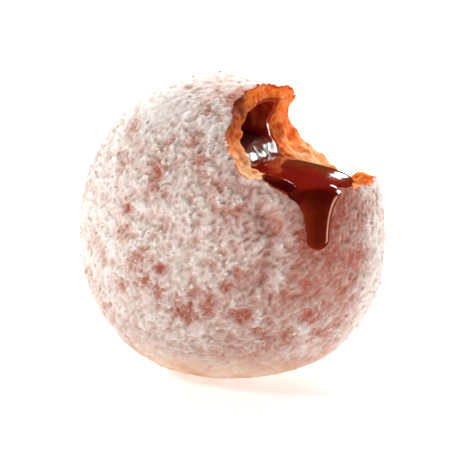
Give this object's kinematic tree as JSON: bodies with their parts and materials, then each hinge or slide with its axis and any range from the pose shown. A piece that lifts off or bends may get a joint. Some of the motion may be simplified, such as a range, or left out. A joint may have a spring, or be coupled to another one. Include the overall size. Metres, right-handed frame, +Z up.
{
  "type": "jelly filled doughnut",
  "caption": "Bitten jelly filled doughnut, round and plump under caked powdered sugar, with jelly filling its pocket, pooling at the bite and dripping down the front.",
  "frame": {"origin": "on the floor, under the middle of the doughnut as it stands on its rim", "axes": "X runs across the doughnut to the side with the bite, Y through its thickness from the front face to the back, and Z is up as it stands on its rim"},
  "size_m": [0.0815, 0.0598, 0.0812],
  "materials": {
    "sugared_dough": "matte",
    "jelly": "wet gloss"
  },
  "bodies": {
    "root": {"dough": "sugared_dough", "jelly_filling": "jelly"}
  },
  "joints": []
}
